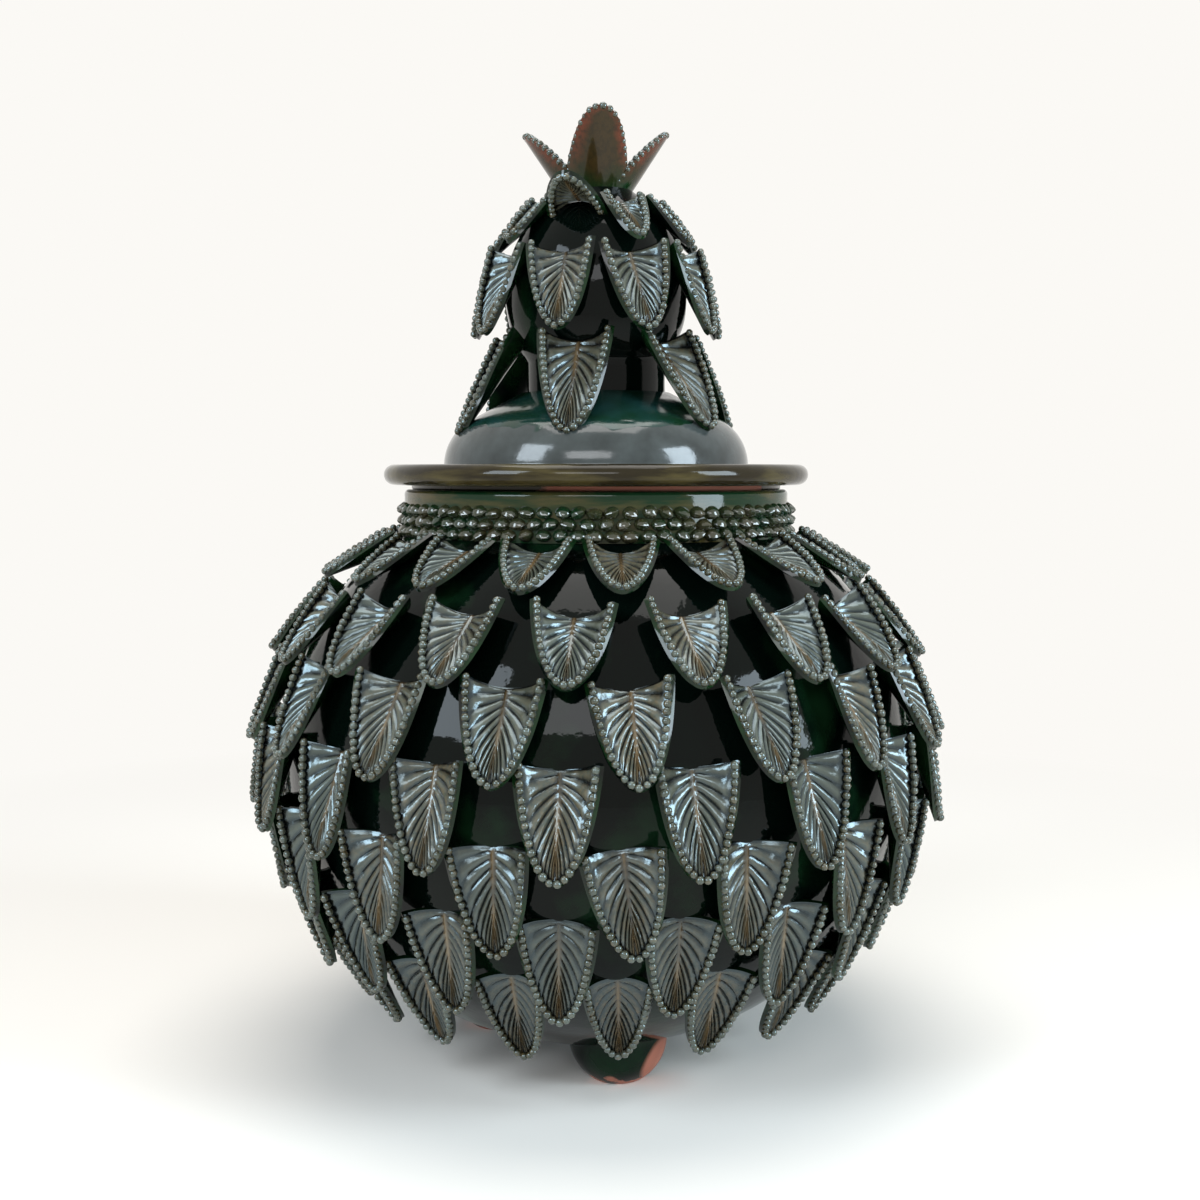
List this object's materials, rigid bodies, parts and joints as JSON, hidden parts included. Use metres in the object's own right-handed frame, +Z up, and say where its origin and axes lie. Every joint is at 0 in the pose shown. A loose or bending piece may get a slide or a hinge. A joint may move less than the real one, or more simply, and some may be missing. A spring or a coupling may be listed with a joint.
{
  "type": "pineapple jar",
  "caption": "Round lidded earthenware jar covered with staggered rows of pressed trough leaves, with a leafy pineapple knob and crown on its lift-off lid and short ball feet.",
  "frame": {"origin": "centre of the jar on the surface that its feet stand on", "axes": "+Z up along the jar's axis, -Y to the front of the jar, +X to its right as seen from the front"},
  "size_m": [0.2938, 0.2934, 0.3929],
  "materials": {
    "globe_glaze": "very glossy dark green glaze over red earthenware, bare clay under the lid",
    "leaf_glaze": "thin olive green glaze, semi-gloss, brown where it runs thin on the veins",
    "pellet_glaze": "olive green glaze on small round pellets",
    "crown_glaze": "thin amber brown glaze over red clay"
  },
  "bodies": {
    "jar": {"lower_bowl": "globe_glaze", "upper_bowl": "globe_glaze", "collar": "globe_glaze", "foot_front": "globe_glaze", "foot_right": "globe_glaze", "foot_left": "globe_glaze", "collar_pellets_top": "pellet_glaze", "collar_pellets_middle": "pellet_glaze", "collar_pellets_bottom": "pellet_glaze", "leaf_row_1": "leaf_glaze", "leaf_row_2": "leaf_glaze", "leaf_row_3": "leaf_glaze", "leaf_row_4": "leaf_glaze", "leaf_row_5": "leaf_glaze", "leaf_row_6": "leaf_glaze", "leaf_row_7": "leaf_glaze"},
    "lid": {"lid_cover": "globe_glaze", "knob_core": "globe_glaze", "knob_leaves_top": "leaf_glaze", "knob_leaves_middle": "leaf_glaze", "knob_leaves_skirt": "leaf_glaze", "crown_leaf_front": "crown_glaze", "crown_leaf_right": "crown_glaze", "crown_leaf_back": "crown_glaze", "crown_leaf_left": "crown_glaze"}
  },
  "joints": [
    {"name": "lid_lift", "type": "slide", "parent": "jar", "child": "lid", "axis": [0, 0, 1], "range_m": [0, 0.15]}
  ]
}
